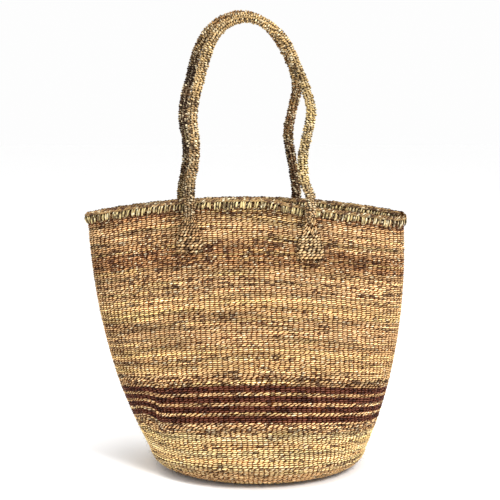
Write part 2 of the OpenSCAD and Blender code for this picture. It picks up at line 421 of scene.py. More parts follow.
@dataclass
class BodyForm:
    """The basket's outer skin, in millimetres, as the frame has it.

    A course coordinate t runs from -1 at the middle of the flat bottom to 0 at
    its edge, to 1 at the ridge and to 2 at the rim.
    """

    foot_radius: float = field(init=False)
    mouth_half_length: float = field(init=False)
    ridge_radius: float = 131.0
    ridge_height: float = 27.0
    mouth_half_depth: float = 45.0
    rim_height: float = 326.0
    mouth_shift: float = 15.0
    side_droop: float = 21.0
    droop_height: float = 55.0
    back_drop: float = 5.0
    front_sag: float = 11.0
    wall: float = 5.0
    fold_lift: float = 8.0
    fold_x: float = -116.0
    fold_height: float = 78.0
    dent_depth: float = 6.0
    dent_x: float = -124.0
    dent_height: float = 72.0
    dent_reach: float = 34.0
    table_rows: int = 150
    table_shares: int = 720
    table_t: Array = field(init=False)
    table_angle: Array = field(init=False)

    def __post_init__(self) -> None:
        """Takes the sizes that the frame holds and makes the stake table."""
        low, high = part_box("base_disc")
        self.foot_radius = (high[0] - low[0]) / 2 / MM + 0.4
        low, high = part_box("rim_binding")
        self.mouth_half_length = (high[0] - low[0]) / 2 / MM - 2.0
        self._fill_table()

    def course_at(self, height: Array) -> Array:
        """The course coordinate of a height on the front of the wall."""
        return 1 + (height - self.ridge_height) / (self.rim_height - self.ridge_height)

    def profile(self, t: Array) -> tuple[Array, Array, Array, Array]:
        """The plain oval of each course.

        Args:
            t: Course coordinates.

        Returns:
            Half length, half depth, front height and sideways shift at each.
        """
        flat, corner, wall = np.clip(t, -1, 0), np.clip(t, 0, 1), np.clip(t - 1, 0, 1)
        left = 1 - wall
        turned = self.foot_radius * (1 + flat) + (self.ridge_radius - self.foot_radius) * np.sin(
            corner * math.pi / 2)
        half_x = np.where(t <= 1, turned, self.ridge_radius + (self.mouth_half_length - self.ridge_radius)
                          * (1 - left**2.2))
        half_y = np.where(t <= 1, turned, self.mouth_half_depth + (self.ridge_radius - self.mouth_half_depth)
                          * left**1.5)
        height = self.ridge_height * (1 - np.cos(corner * math.pi / 2)) + wall * (
            self.rim_height - self.ridge_height)
        return half_x, half_y, height, -self.mouth_shift * wall

    def skin(self, t: Array, angle: Array) -> Array:
        """Points on the outer skin.

        Args:
            t: Course coordinates.
            angle: Angles round the basket, in radians from +X.

        Returns:
            One point for each pair.
        """
        half_x, half_y, height, shift = self.profile(t)
        c, s = np.cos(angle), np.sin(angle)
        wall = np.clip(t - 1, 0, 1)
        droop = self.side_droop * (1 - np.exp(-height / self.droop_height)) * c**2
        drop = self.back_drop * wall * np.maximum(s, 0) ** 2
        sag = (self.front_sag * wall**3 * np.sqrt(np.maximum(-s, 0))
               * (1 - np.exp(-4 * np.maximum(c - 0.12, 0))))
        points = np.stack([shift + half_x * c, half_y * s, height - droop - drop - sag], axis=-1)
        return points + self._dent(points, height)

    def _dent(self, points: Array, height: Array) -> Array:
        """The fold low on the left of the front.

        Args:
            points: Points on the plain skin.
            height: The front height of each point's course.

        Returns:
            How far the fold moves each point.
        """
        x, y = points[..., 0], points[..., 1]
        front = np.clip(-y / 45.0, 0, 1)
        lifted = np.exp(-(((height - self.fold_height) / self.dent_reach) ** 2)) * front
        lift = smoothstep((self.fold_x - x) / 20.0) * lifted
        pressed = np.exp(-(((height - self.dent_height) / self.dent_reach) ** 2)) * front
        press = self.dent_depth * np.exp(-(((x - self.dent_x) / 10) ** 2)) * pressed
        return np.stack([0.45 * press, 0.8 * press, self.fold_lift * lift], axis=-1)

    def _fill_table(self) -> None:
        """Finds, for each t, the angles that share its length out evenly."""
        self.table_t = np.linspace(-0.97, 2.0, self.table_rows)
        share = np.linspace(0, 1, self.table_shares + 1)
        sweep = np.linspace(math.pi / 2, math.pi / 2 + 2 * math.pi, 2 * self.table_shares + 1)
        rows = []
        for t in self.table_t:
            travelled = travel(self.skin(np.full_like(sweep, t), sweep))
            rows.append(np.interp(share, travelled / travelled[-1], sweep))
        self.table_angle = np.array(rows)

    def angle_at(self, t: Array, share: Array) -> Array:
        """Reads the stake table.

        Args:
            t: Course coordinates.
            share: Shares of the way round, from the middle of the back.

        Returns:
            The angle at each pair.
        """
        i = np.clip((t - self.table_t[0]) / (self.table_t[1] - self.table_t[0]), 0, self.table_rows - 1.001)
        j = (share % 1.0) * self.table_shares
        i0, j0 = i.astype(int), np.minimum(j.astype(int), self.table_shares - 1)
        fi, fj = i - i0, j - j0
        a = self.table_angle
        return ((a[i0, j0] * (1 - fj) + a[i0, j0 + 1] * fj) * (1 - fi)
                + (a[i0 + 1, j0] * (1 - fj) + a[i0 + 1, j0 + 1] * fj) * fi)

    def frame_at(self, t: Array, angle: Array) -> tuple[Array, Array, Array]:
        """Points on the skin with their directions.

        Args:
            t: Course coordinates.
            angle: Angles round the basket.

        Returns:
            The points, the outward and the upward directions.
        """
        e = 0.004
        high = np.minimum(t + e, 2.0)
        up = self.skin(high, angle) - self.skin(high - 2 * e, angle)
        round_ = self.skin(t, angle + e) - self.skin(t, angle - e)
        out = unit(np.cross(round_, up))
        return self.skin(t, angle), out, unit(np.cross(out, round_))

    def on_wall(self, x: Array, height: Array, off: Array, side: Side) -> Array:
        """Points near the wall, as they are seen from the front.

        Args:
            x: How far to the right.
            height: Heights on the front of the wall.
            off: Distances off the wall.
            side: Front or back.

        Returns:
            One point for each.
        """
        t = self.course_at(height)
        half_x, _, _, shift = self.profile(t)
        angle = side.value * np.arccos(np.clip((x - shift) / half_x, -1, 1))
        point, out, _ = self.frame_at(t, angle)
        return point + out * off[:, None]


# ---------------------------------------------------------------- strands to meshes


@dataclass
class StrandBatch:
    """Strands that become one mesh, with the facts that its material reads."""

    sides: int = 6
    rings: list[Array] = field(default_factory=list)
    lays: list[Array] = field(default_factory=list)
    courses: list[Array] = field(default_factory=list)
    places: list[Array] = field(default_factory=list)
    reliefs: list[Array] = field(default_factory=list)

    def add(
        self,
        centre: Array,
        across: Array,
        up: Array,
        half_across: Array,
        half_up: Array,
        along: Array,
        strand: Array,
        course: Array,
        place: Array,
        relief: Optional[Array] = None,
    ) -> None:
        """Adds one strand.

        Args:
            centre: Its middle line, one point a ring.
            across: Unit vectors from the work towards the eye.
            up: Unit vectors across the strand, along the work.
            half_across: Half thickness at each ring.
            half_up: Half width at each ring.
            along: Millimetres travelled along the strand at each ring.
            strand: A number for the strand, which may change as it winds.
            course: Place on the colour ramp at each ring.
            place: Place for the broad patches at each ring, as (round, up, 0).
            relief: How far the middle line stands out, -1 to 1; None is all the way.
        """
        n, m = self.sides, len(along)
        turn = math.pi + np.arange(n) * 2 * math.pi / n
        wide, tall, number, stop = (np.broadcast_to(np.asarray(v, float), along.shape)
                                    for v in (half_across, half_up, strand, course))
        self.rings.append(centre[:, None, :]
                          + across[:, None, :] * (np.cos(turn)[None, :, None] * wide[:, None, None])
                          + up[:, None, :] * (np.sin(turn)[None, :, None] * tall[:, None, None]))
        lay = np.zeros((m, n, 3))
        lay[..., 0] = along[:, None]
        lay[..., 1] = np.abs(np.arange(n) - n / 2)[None, :] * CORNER_STEP
        lay[..., 2] = number[:, None]
        self.lays.append(lay)
        # the relief is the mask for the painted shade: faces turned from the eye, and strands that lie
        # behind the others, are darkened in the material
        out = np.ones(m) if relief is None else relief
        face = np.cos(turn)[None, :] * np.where(out > -1e-6, 1.0, BACK_OF_WORK)[:, None]
        self.reliefs.append(0.15 * np.abs(out)[:, None] + 0.85 * face)
        self.courses.append(np.repeat(stop, n))
        self.places.append(np.repeat(np.broadcast_to(np.asarray(place, float), (m, 3)), n, axis=0))

    def to_object(self, name: str, material: bpy.types.Material) -> bpy.types.Object:
        """Makes one mesh object of the strands.

        Args:
            name: The object's name.
            material: The material of all of it.

        Returns:
            The object, linked to the scene.
        """
        n = self.sides
        around = np.arange(n)
        quads, caps, start = [], [], 0
        for ring in self.rings:
            m = len(ring)
            base = start + (np.arange(m - 1) * n)[:, None]
            a, b = base + around, base + (around + 1) % n
            quads.append(np.stack([a, b, b + n, a + n], axis=-1).reshape(-1, 4))
            caps += [start + around[::-1], start + (m - 1) * n + around]
            start += m * n
        points = np.concatenate([r.reshape(-1, 3) for r in self.rings]) * MM
        quad, cap = np.concatenate(quads), np.array(caps)
        loops = np.concatenate([quad.ravel(), cap.ravel()])
        sizes = np.concatenate([np.full(len(quad), 4), np.full(len(cap), n)])
        starts = np.concatenate([[0], np.cumsum(sizes)[:-1]])
        mesh = bpy.data.meshes.new(name)
        mesh.vertices.add(len(points))
        mesh.vertices.foreach_set("co", points.astype(np.float32).ravel())
        mesh.loops.add(len(loops))
        mesh.loops.foreach_set("vertex_index", loops.astype(np.int32))
        mesh.polygons.add(len(sizes))
        mesh.polygons.foreach_set("loop_start", starts.astype(np.int32))
        mesh.polygons.foreach_set("loop_total", sizes.astype(np.int32))
        mesh.update(calc_edges=True)
        mesh.polygons.foreach_set("use_smooth", np.arange(len(sizes)) < len(quad))
        self._write_facts(mesh)
        self._write_map(mesh, len(quad) // n, len(cap))
        mesh.materials.append(material)
        mesh.validate()
        obj = bpy.data.objects.new(name, mesh)
        bpy.context.scene.collection.objects.link(obj)
        log.info("%s: %d strands, %d faces", name, len(self.rings), len(sizes))
        return obj

    def _write_facts(self, mesh: bpy.types.Mesh) -> None:
        """Writes what the material reads at each point of the mesh."""
        for name, kind, key, parts in (
            ("lay", "FLOAT_VECTOR", "vector", self.lays),
            ("course", "FLOAT", "value", self.courses),
            ("place", "FLOAT_VECTOR", "vector", self.places),
            ("relief", "FLOAT", "value", self.reliefs),
        ):
            values = np.concatenate([part.ravel() for part in parts]).astype(np.float32)
            mesh.attributes.new(name, kind, "POINT").data.foreach_set(key, values)

    def _write_map(self, mesh: bpy.types.Mesh, band_count: int, cap_count: int) -> None:
        """Writes a flat map in which nothing overlaps.

        Args:
            mesh: The mesh, whose bands of faces come before its end caps.
            band_count: How many bands of faces run round the strands.
            cap_count: How many end caps there are, four to a cell.
        """
        n = self.sides
        cells = band_count + math.ceil(cap_count / 4)
        rows = max(1, round(math.sqrt(cells / 4.0)))
        columns = math.ceil(cells / rows)
        cell, j = np.arange(band_count), np.arange(n)
        left = np.repeat(((cell % columns) / columns)[:, None], n, axis=1)
        right = left + 1 / columns
        floor = ((cell // columns) / rows)[:, None]
        low, high = (floor + (0.04 + 0.92 * (j + k) / n) / rows for k in (0, 1))
        bands = np.stack([left, low, left, high, right, high, right, low], axis=-1).reshape(-1, 2)
        spare = np.arange(cap_count) + band_count * 4
        left = ((spare // 4) % columns) / columns
        floor = ((spare // 4) // columns) / rows + (spare % 4) / 4 / rows
        turn = j * 2 * math.pi / n
        caps = np.stack([left[:, None] + (0.5 + 0.4 * np.cos(turn)) / columns,
                         floor[:, None] + (0.5 + 0.4 * np.sin(turn)) / rows / 4], axis=-1).reshape(-1, 2)
        layer = mesh.uv_layers.new(name=BAKE_MAP)
        layer.uv.foreach_set("vector", np.concatenate([bands, caps]).astype(np.float32).ravel())


@dataclass
class Twining:
    """How two strands are twined round the stakes, in millimetres.

    Attributes:
        stakes: Stakes in one turn.
        rings_per_stitch: Rings of the mesh from one stake to the next.
        swing: How far a strand swings out and in.
        rise: How far it rises and falls.
        half_thick: Half of its thickness.
        fill: Half of its width, as a share of the course.
        pinch: How much thinner it is where it dives between the stakes.
        wobble: How far its middle line strays.
        stagger: How far the stitches drift along the course, in stitches.
        lumps: How much its thickness varies.
        slant: The way that the stitches lean.
        seed: Where its chance starts.
    """

    stakes: int
    rings_per_stitch: int = 4
    swing: float = 1.0
    rise: float = 0.34
    half_thick: float = 1.05
    fill: float = 0.40
    pinch: float = 0.16
    wobble: float = 0.17
    stagger: float = 0.12
    lumps: float = 0.09
    slant: Slant = Slant.UP_TO_THE_RIGHT
    seed: int = 7

    def wind(
        self,
        batch: StrandBatch,
        first: float,
        last: float,
        lay_out: Callable[[Array], Layout],
        girth: float,
        first_strand: int = 0,
    ) -> None:
        """Winds a run of courses.

        Args:
            batch: Where the strands go.
            first: First course, counted in turns.
            last: Last course, counted in turns.
            lay_out: From turns to the middle of the work, its outward and upward
                directions, the height of a course, the ramp place and the patch place.
            girth: Millimetres in one turn, for the pattern's scale.
            first_strand: Number of the first strand, for its own tones.
        """
        rng = np.random.default_rng(self.seed + int(first * 13) + first_strand)
        total = int(round((last - first) * self.stakes * self.rings_per_stitch))
        stitch = first * self.stakes + np.arange(total + 1) / self.rings_per_stitch
        turns = stitch / self.stakes
        middle, out, up, lift, course, place = lay_out(turns)
        here, count = stitch - stitch[0], len(stitch) // self.rings_per_stitch
        knots = np.arange(count + 3)
        # the stitches drift along the row, so that they don't stack in straight columns
        shift = wander(rng, here, np.arange(0, count + 8, 5), self.stagger)
        for ply in (0, 1):
            phase = math.pi * (stitch + ply + shift)
            outward = self.swing * np.cos(phase) + wander(rng, here, knots, self.wobble)
            upward = (self.slant.value * self.rise * np.sin(phase)
                      + wander(rng, here, knots, self.wobble))
            size = ((1 - self.pinch + self.pinch * np.cos(phase) ** 2)
                    * (1 + wander(rng, here, knots, self.lumps)))
            # the ply's cos(phase) is its relief: painted shade where it dives behind the stake and the other
            # ply
            batch.add(middle + out * outward[:, None] + up * upward[:, None], out, up,
                      self.half_thick * size, self.fill * lift * size, (turns % 1.0) * girth,
                      2 * np.floor(turns) + ply + first_strand, course, place, np.cos(phase))


# ---------------------------------------------------------------- the basket


@dataclass(frozen=True)
class Band:
    """A run of courses on the wall.

    Attributes:
        node: The frame's node that it stands for.
        top: Height of its upper edge at the front.
        courses: How many courses it holds.
        dyed: Whether its yarn is dyed.
    """

    node: str
    top: float
    courses: int
    dyed: bool = False


@dataclass(frozen=True)
class Zone:
    """A ring of the flat bottom.

    Attributes:
        name: What its piece is called.
        node: The frame's node that it stands for.
        start: Course coordinate of its inner edge.
        end: Course coordinate of its outer edge.
        stakes: Stakes in it, fewer towards the middle.
        courses: How many courses it holds.
    """

    name: str
    node: str
    start: float
    end: float
    stakes: int
    courses: int


WALL_BANDS: tuple[Band, ...] = (
    Band("base_ridge_course", 30.0, 2),
    Band("lower_wall", 69.0, 18),
    Band("accent_course_lower", 75.6, 3),
    Band("dyed_stripe_1", 82.6, 3, True),
    Band("plain_stripe_1", 86.5, 2),
    Band("dyed_stripe_2", 93.5, 3, True),
    Band("plain_stripe_2", 97.4, 2),
    Band("dyed_stripe_3", 104.4, 3, True),
    Band("plain_stripe_3", 108.3, 2),
    Band("dyed_stripe_4", 115.3, 3, True),
    Band("accent_course_upper", 127.0, 5),
    Band("ochre_band", 183.0, 25),
    Band("olive_band", 197.0, 6),
    Band("golden_band", 252.0, 24),
    Band("brown_band", 285.0, 14),
    Band("shoulder_band", 314.0, 12),
)
BOTTOM_ZONES = (
    Zone("disc_outer", "base_disc", -0.34, -0.004, 137, 13),
    Zone("disc_inner", "base_disc", -0.67, -0.34, 69, 13),
    Zone("centre", "base_centre", -0.94, -0.67, 35, 10),
)
# the batch of yarn in hand at each height up the front, in millimetres; the lowest and the two highest stops
# are painted shade, not batches
YARN_BY_HEIGHT: tuple[tuple[float, Yarn], ...] = (
    # 0 and 18 mm: darker towards the bottom, as painted shade on the corner, which turns away from the light
    (0, Yarn.BROWN), (18, Yarn.DULL), (26, Yarn.PALE), (34, Yarn.STRAW), (41, Yarn.PALE),
    (50, Yarn.STRAW), (58, Yarn.PALE), (65, Yarn.DULL), (72, Yarn.TAN), (117, Yarn.DULL),
    (128, Yarn.TAN), (136, Yarn.STRAW), (144, Yarn.DULL), (152, Yarn.STRAW), (160, Yarn.DULL),
    (170, Yarn.TAN), (184, Yarn.DULL), (194, Yarn.DULL), (204, Yarn.STRAW), (220, Yarn.TAN),
    (234, Yarn.TAN), (246, Yarn.DULL), (258, Yarn.BROWN), (270, Yarn.BROWN), (281, Yarn.DULL),
    # 313 and 317 mm: painted shadow under the rim's loops
    (300, Yarn.TAN), (308, Yarn.DULL), (313, Yarn.BROWN), (317, Yarn.SHADE),
)
# how much dark yarn is mixed in at each height up the front
MOTTLE_BY_HEIGHT: tuple[tuple[float, float], ...] = (
    (0, 0.6), (24, 0.5), (30, 0.1), (52, 0.25), (60, 0.35), (66, 1.0), (74, 0.9), (96, 0.6),
    (118, 0.9), (124, 1.0), (132, 0.3), (141, 0.2), (145, 0.8), (150, 0.1), (183, 0.15),
    (188, 0.6), (198, 0.2), (216, 0.1), (224, 0.6), (244, 0.45), (256, 0.8), (274, 0.9),
    (286, 0.4), (300, 0.35), (312, 0.8),
)


@dataclass
class TwinedBody:
    """The bottom, the turned-up corner and the wall, in twined sisal."""

    form: BodyForm
    stakes: int = 137
    short_stakes: int = 35
    corner_courses: int = 21
    rim_courses: int = 4
    per_piece: int = 14
    girth: float = 822.0
    bottom_girth: float = 400.0
    course: float = 2.4
    ridge_bulge: float = 0.9

    def __post_init__(self) -> None:
        """Lays the courses out from the bottom's edge to the rim."""
        form, turn = self.form, self.corner_courses
        marks = [(0, 0.0), (turn, 1 - 1.5 / form.ridge_height),
                 (turn + WALL_BANDS[0].courses / 2, form.course_at(form.ridge_height + 0.3))]
        for band in WALL_BANDS:
            turn += band.courses
            marks.append((turn, form.course_at(band.top)))
        self.rim_start = turn
        marks.append((turn + self.rim_courses, form.course_at(form.rim_height - 5)))
        self.turns, self.at = np.array(marks, float).T
        self.twining = Twining(self.stakes)
        # the single rows between the stripes are wound looser, so their stitches slant more
        self.slanted = Twining(self.stakes, rise=0.55, fill=0.44, wobble=0.26, stagger=0.35, pinch=0.3)
        height = form.rim_height
        # undyed sisal gives the wall its bands of straw, tan and brown, flecked with dark fibre
        self.undyed = Sisal(
            "undyed_twined_sisal", tuple((h / height, batch.value) for h, batch in YARN_BY_HEIGHT),
            mottle=tuple((h / height, amount) for h, amount in MOTTLE_BY_HEIGHT), lift=1.75, patch=0.34,
        ).build()
        # vat-dyed sisal gives the stripes an even dull maroon
        self.dyed = Sisal(
            "maroon_dyed_sisal", ((0.0, "663a2a"), (1.0, "613626")), dark="2e1410", pale="94644c",
            warm="6c3e2e", straw="57301f", dark_share=0.5, pale_share=0.12, lift=1.2, patch=0.08,
        ).build()

    def build(self) -> None:
        """Winds every band of the body, then the bottom and the stakes."""
        start = self.corner_courses
        self._build_band("base_corner", 0, start, dyed=False)
        for band in WALL_BANDS:
            self._build_band(band.node, start, start + band.courses, band.dyed)
            start += band.courses
        self._build_rim_rows()
        for zone in BOTTOM_ZONES:
            self._build_bottom(zone)
        self._build_stakes()

    def _build_band(self, node: str, first: int, last: int, dyed: bool) -> None:
        """Winds one band, in pieces of a few courses.

        Args:
            node: The frame's node that it stands for.
            first: Its first turn.
            last: Its last turn.
            dyed: Whether its yarn is dyed.
        """
        edges = np.linspace(first, last, math.ceil((last - first) / self.per_piece) + 1).round().astype(int)
        twining = self.slanted if node.startswith(("accent", "plain")) else self.twining
        for i, (low, high) in enumerate(zip(edges[:-1], edges[1:]), 1):
            batch = StrandBatch()
            twining.wind(batch, int(low), int(high), self._lay_out, self.girth)
            obj = batch.to_object(f"twined_{node}_{i}", self.dyed if dyed else self.undyed)
            fix_to_basket(obj, node)

    def _build_rim_rows(self) -> None:
        """The courses that the rim's whipping hides."""
        batch = StrandBatch()
        last = self.rim_start + self.rim_courses
        self.twining.wind(batch, self.rim_start, last, self._lay_out, self.girth)
        fix_to_basket(batch.to_object("twined_rim_core", self.undyed), "rim_core")

    def _lay_out(self, turns: Array) -> Layout:
        """Where the twining runs up the body.

        Args:
            turns: Turns from the bottom's edge.

        Returns:
            The layout that Twining.wind asks for.
        """
        form = self.form
        t = np.interp(turns, self.turns, self.at)
        angle = form.angle_at(t, turns % 1.0)
        point, out, up = form.frame_at(t, angle)
        above, below = (form.skin(np.interp(turns + step, self.turns, self.at), angle)
                        for step in (0.5, -0.5))
        lift = np.maximum(np.linalg.norm(above - below, axis=1), 1.2)
        ridge = np.exp(-(((turns - self.corner_courses - 1) / 1.7) ** 2))
        middle = point + out * (self.ridge_bulge * ridge - form.wall / 2)[:, None]
        course = np.where(t < 1, 0.02 + 0.05 * t, form.profile(t)[2] / form.rim_height)
        place = np.stack([(turns % 1.0) * self.girth, turns * self.course, 0 * turns], axis=1)
        return middle, out, up, lift, course, place

    def _build_bottom(self, zone: Zone) -> None:
        """Winds one ring of the flat bottom."""
        batch = StrandBatch()
        Twining(zone.stakes, rise=0.4).wind(batch, 0, zone.courses, partial(self._lay_out_bottom, zone),
                                            self.bottom_girth, first_strand=400)
        obj = batch.to_object(f"twined_bottom_{zone.name}", self.undyed)
        fix_to_basket(obj, zone.node)

    def _lay_out_bottom(self, zone: Zone, turns: Array) -> Layout:
        """Where the twining runs on a ring of the bottom.

        Args:
            zone: The ring.
            turns: Turns from its inner edge.

        Returns:
            The layout that Twining.wind asks for.
        """
        t = zone.start + (zone.end - zone.start) * turns / zone.courses
        angle = self.form.angle_at(t, turns % 1.0)
        point, out, up = self.form.frame_at(t, angle)
        lift = np.full(len(t), self.form.foot_radius * (zone.end - zone.start) / zone.courses)
        place = np.stack([angle * 60, turns * self.course, 0 * turns + 500], axis=1)
        return point - out * (self.form.wall / 2), out, up, lift, np.full(len(t), 0.05), place

    def _build_stakes(self) -> None:
        """The bundles of fibre that the strands are twined round."""
        # the stakes show as a dull brown between the stitches: painted shade, their sisal kept dark by a
        # lift of 0.6, and the long stakes also by a relief of -0.3
        shaded_stake_sisal = Sisal("shaded_sisal_stake", ((0.0, "8a6a44"), (1.0, "7d5c3a")), lift=0.6)
        batch = StrandBatch(sides=5)
        middle = self.form.wall / 2
        t = np.concatenate([np.linspace(-0.33, 0, 6), np.linspace(0.1, 1, 10),
                            np.linspace(1.05, self.at[-1], 24)])
        for i in range(self.stakes):
            angle = self.form.angle_at(t, np.full(len(t), i / self.stakes))
            point, out, _ = self.form.frame_at(t, angle)
            side = unit(np.cross(out, np.gradient(point, axis=0)))
            batch.add(point - out * middle, out, side, 0.6, 2.9, travel(point), i + 900, 0.5,
                      (i * 6.0, 0, 0), relief=np.full(len(t), -0.3))
        rings = 12
        for i in range(self.short_stakes):
            angle = np.full(rings, i / self.short_stakes * 2 * math.pi)
            point, out, up = self.form.frame_at(np.linspace(-0.95, -0.3, rings), angle)
            batch.add(point - out * middle, out, unit(np.cross(out, up)), 0.7, 1.1,
                      np.arange(rings) * 5.0, i + 1200, 0.5, (i * 6.0, 0, 0))
        fix_to_basket(batch.to_object("stakes", shaded_stake_sisal.build()), "warp_stakes")


# share of the drop, distance off the skin and slip along the rim, from the outer end to the inner
LOOP_CUT = (
    (1.0, 0.5, -0.5), (0.75, 1.7, -0.36), (0.35, 2.0, -0.16), (0.08, 1.4, 0.0), (-0.04, -0.6, 0.1),
    (-0.06, -2.5, 0.2), (-0.04, -4.4, 0.3), (0.08, -6.4, 0.4), (0.35, -7.0, 0.6), (0.75, -6.7, 0.8),
    (1.0, -5.5, 1.0),
)
# height, distance off the skin, length of a ply's turn and thickness of each cord on the rim
RIM_CORDS = (
    (324.0, 0.9, 7.6, 1.0), (326.0, -1.2, 8.6, 1.0), (326.0, -3.8, 8.1, 1.0), (324.0, -5.9, 7.3, 1.0),
    (319.5, -1.2, 9.0, 1.1), (319.5, -3.8, 9.0, 1.1), (322.6, -2.5, 9.0, 1.3),
)


@dataclass
class WhippedRim:
    """The loops that bind the mouth's edge, and the plait laid on top."""

    form: BodyForm
    spacing: float = 3.3
    girth: float = 800.0
    drop: float = 7.8
    slip: float = 3.4
    loop_half_width: float = 1.16
    cord_rings: int = 1100
    outer_cords: int = 4

    def build(self) -> None:
        """Makes the loops and the plait."""
        # pale sisal that hands have greyed: the loops stand out as a light edge
        loop_yarn = Sisal(
            "whipped_rim_sisal", ((0.0, "a8976a"), (0.4, "bba975"), (0.7, "937b50"), (1.0, "c2b080")),
            dark="4a3826", pale="efe2bc", straw="cbb983", warm="a98a64", dark_share=0.5, pale_share=0.4,
            run_mm=6.0, lift=1.45, painted_crevice_shade="4a3a22",
        ).build()
        # browner sisal for the plait: it gives the mouth a darker line above the loops
        plait_yarn = Sisal(
            "plaited_rim_sisal", ((0.0, "9d8055"), (0.5, "8d6c48"), (1.0, "b39a68")), dark_share=0.5,
            pale_share=0.4, run_mm=6.0, lift=1.05, painted_crevice_shade="57402c",
        ).build()
        fix_to_basket(self._loops().to_object("rim_loops", loop_yarn), "rim_binding")
        fix_to_basket(self._plait().to_object("rim_plait", plait_yarn))

    def _loops(self) -> StrandBatch:
        """A slanted loop over the edge every few millimetres, no two alike.

        Returns:
            The loops.
        """
        rng = np.random.default_rng(11)
        batch = StrandBatch()
        count = int(self.girth / self.spacing)
        cut = np.array(LOOP_CUT)
        fall, off, slide = (np.interp(np.linspace(0, 1, 17), np.linspace(0, 1, len(cut)), cut[:, k])
                            for k in range(3))
        for i in range(count):
            drop = self.drop + 1.1 * rng.normal()
            slip = self.slip + 1.3 * rng.normal()
            t = self.form.course_at(self.form.rim_height - 2.5 - drop * fall)
            share = (i + 0.22 * rng.normal()) / count + slide * slip / self.girth
            point, out, up = self.form.frame_at(t, self.form.angle_at(t, share))
            lift = 0.5 * rng.normal()
            centre = point + out * (off + 0.25 * rng.normal())[:, None] + up * (0.3 * lift)
            run = unit(np.gradient(centre, axis=0))
            core = point + out * -2.5 - up * (4.0 - drop * fall)[:, None]
            across = unit(np.cross(np.cross(run, centre - core), run))
            width = self.loop_half_width + 0.22 * rng.normal()
            swell = (0.8 + 0.25 * np.sin(math.pi * np.clip(fall, 0, 1))
                     + 0.1 * np.sin(9 * np.linspace(0, 1, 17) + i))
            batch.add(centre, across, unit(np.cross(run, across)), 0.95 * swell, width * swell,
                      travel(centre), 2 * i, (i * GOLDEN_STEP) % 1.0, (i * self.spacing, 0, 900))
        return batch

    def _plait(self) -> StrandBatch:
        """Two-ply cords round the top of the edge, and three inside that fill it.

        Returns:
            The cords.
        """
        batch = StrandBatch()
        share = np.arange(self.cord_rings + 1) / self.cord_rings
        along = share * self.girth
        for k, (height, off, ply_turn, size) in enumerate(RIM_CORDS):
            t = np.full(len(share), min(self.form.course_at(height), 2.0))
            point, out, up = self.form.frame_at(t, self.form.angle_at(t, share))
            waver = (0.35 * np.sin(share * 2 * math.pi * 37 + k)
                     + 0.25 * np.sin(share * 2 * math.pi * 83 + 2 * k))
            place = np.stack([along, 0 * share, 0 * share + 40 * k], axis=1)
            for ply in (0, 1):
                phase = 2 * math.pi * round(self.girth / ply_turn) * share + math.pi * ply
                shown = 0.25 + 0.75 * np.abs(np.sin(phase / 2 + 0.7))
                centre = (point + out * (off + 0.8 * np.cos(phase) * size)[:, None]
                          + up * (0.5 + waver + 0.8 * np.sin(phase) * size)[:, None])
                # painted shade: the inner cords get a relief of 0.4, and each outer ply is shaded by how
                # little of it shows
                batch.add(centre, out if off > -2.5 else -out, up, 1.05 * size, 1.2 * size, along,
                          700 + 2 * k + ply, (0.37 * k) % 1.0, place,
                          relief=np.where(k < self.outer_cords, shown, 0.4))
        return batch


# ---------------------------------------------------------------- handles


# The cords' middle lines above the rim, as points given in millimetres: (x, z) from
# the left foot over the arch to the right one.
FRONT_ROUTE = (
    (-80, 330), (-79, 346), (-75, 370), (-74, 394), (-77, 418), (-75, 442), (-68, 468), (-61, 494),
    (-50, 518), (-31, 534), (-7, 537), (16, 526), (33, 507), (46, 479), (56, 453), (62, 428),
    (57, 400), (52, 376), (53, 350), (61, 330),
)
BACK_ROUTE = (
    (-94, 330), (-91, 346), (-87, 368), (-87, 392), (-91, 418), (-88, 446), (-80, 472), (-72, 502),
    (-56, 526), (-33, 540), (-9, 540), (13, 528), (31, 504), (43, 478), (47, 454), (42, 430),
    (37, 400), (42, 368), (46, 346), (48, 330),
)


@dataclass(frozen=True)
class Handle:
    """One handle's place, route and yarn.

    Attributes:
        side: The side of the basket that it is on.
        body: The frame's body that swings; not used.
        slot: The record's material slot of its yarn; not used.
        feet: How far to the right each foot is.
        route: The cord's middle line above the rim.
        colours: The yarn's colours along the cord.
    """

    side: Side
    body: str
    slot: str
    feet: tuple[float, float]
    route: tuple[tuple[float, float], ...]
    colours: Stops

    @property
    def name(self) -> str:
        """The side's name, as the nodes have it."""
        return self.side.name.lower()


HANDLES = (
    Handle(Side.FRONT, "front_handle", "golden_cord", (-80.0, 61.0), FRONT_ROUTE,
           ((0.0, "7e6444"), (0.15, "8d734e"), (0.45, "a3885a"), (0.6, "9b8054"), (0.8, "826948"),
            (0.9, "a0885d"), (1.0, "846b4c"))),
    Handle(Side.BACK, "back_handle", "brown_cord", (-94.0, 48.0), BACK_ROUTE,
           ((0.0, "593f27"), (0.10, "65492a"), (0.15, "231811"), (0.33, "291c13"), (0.40, "6a4b2c"),
            (0.6, "7f5e34"), (0.8, "5f4227"), (1.0, "49311c"))),
)


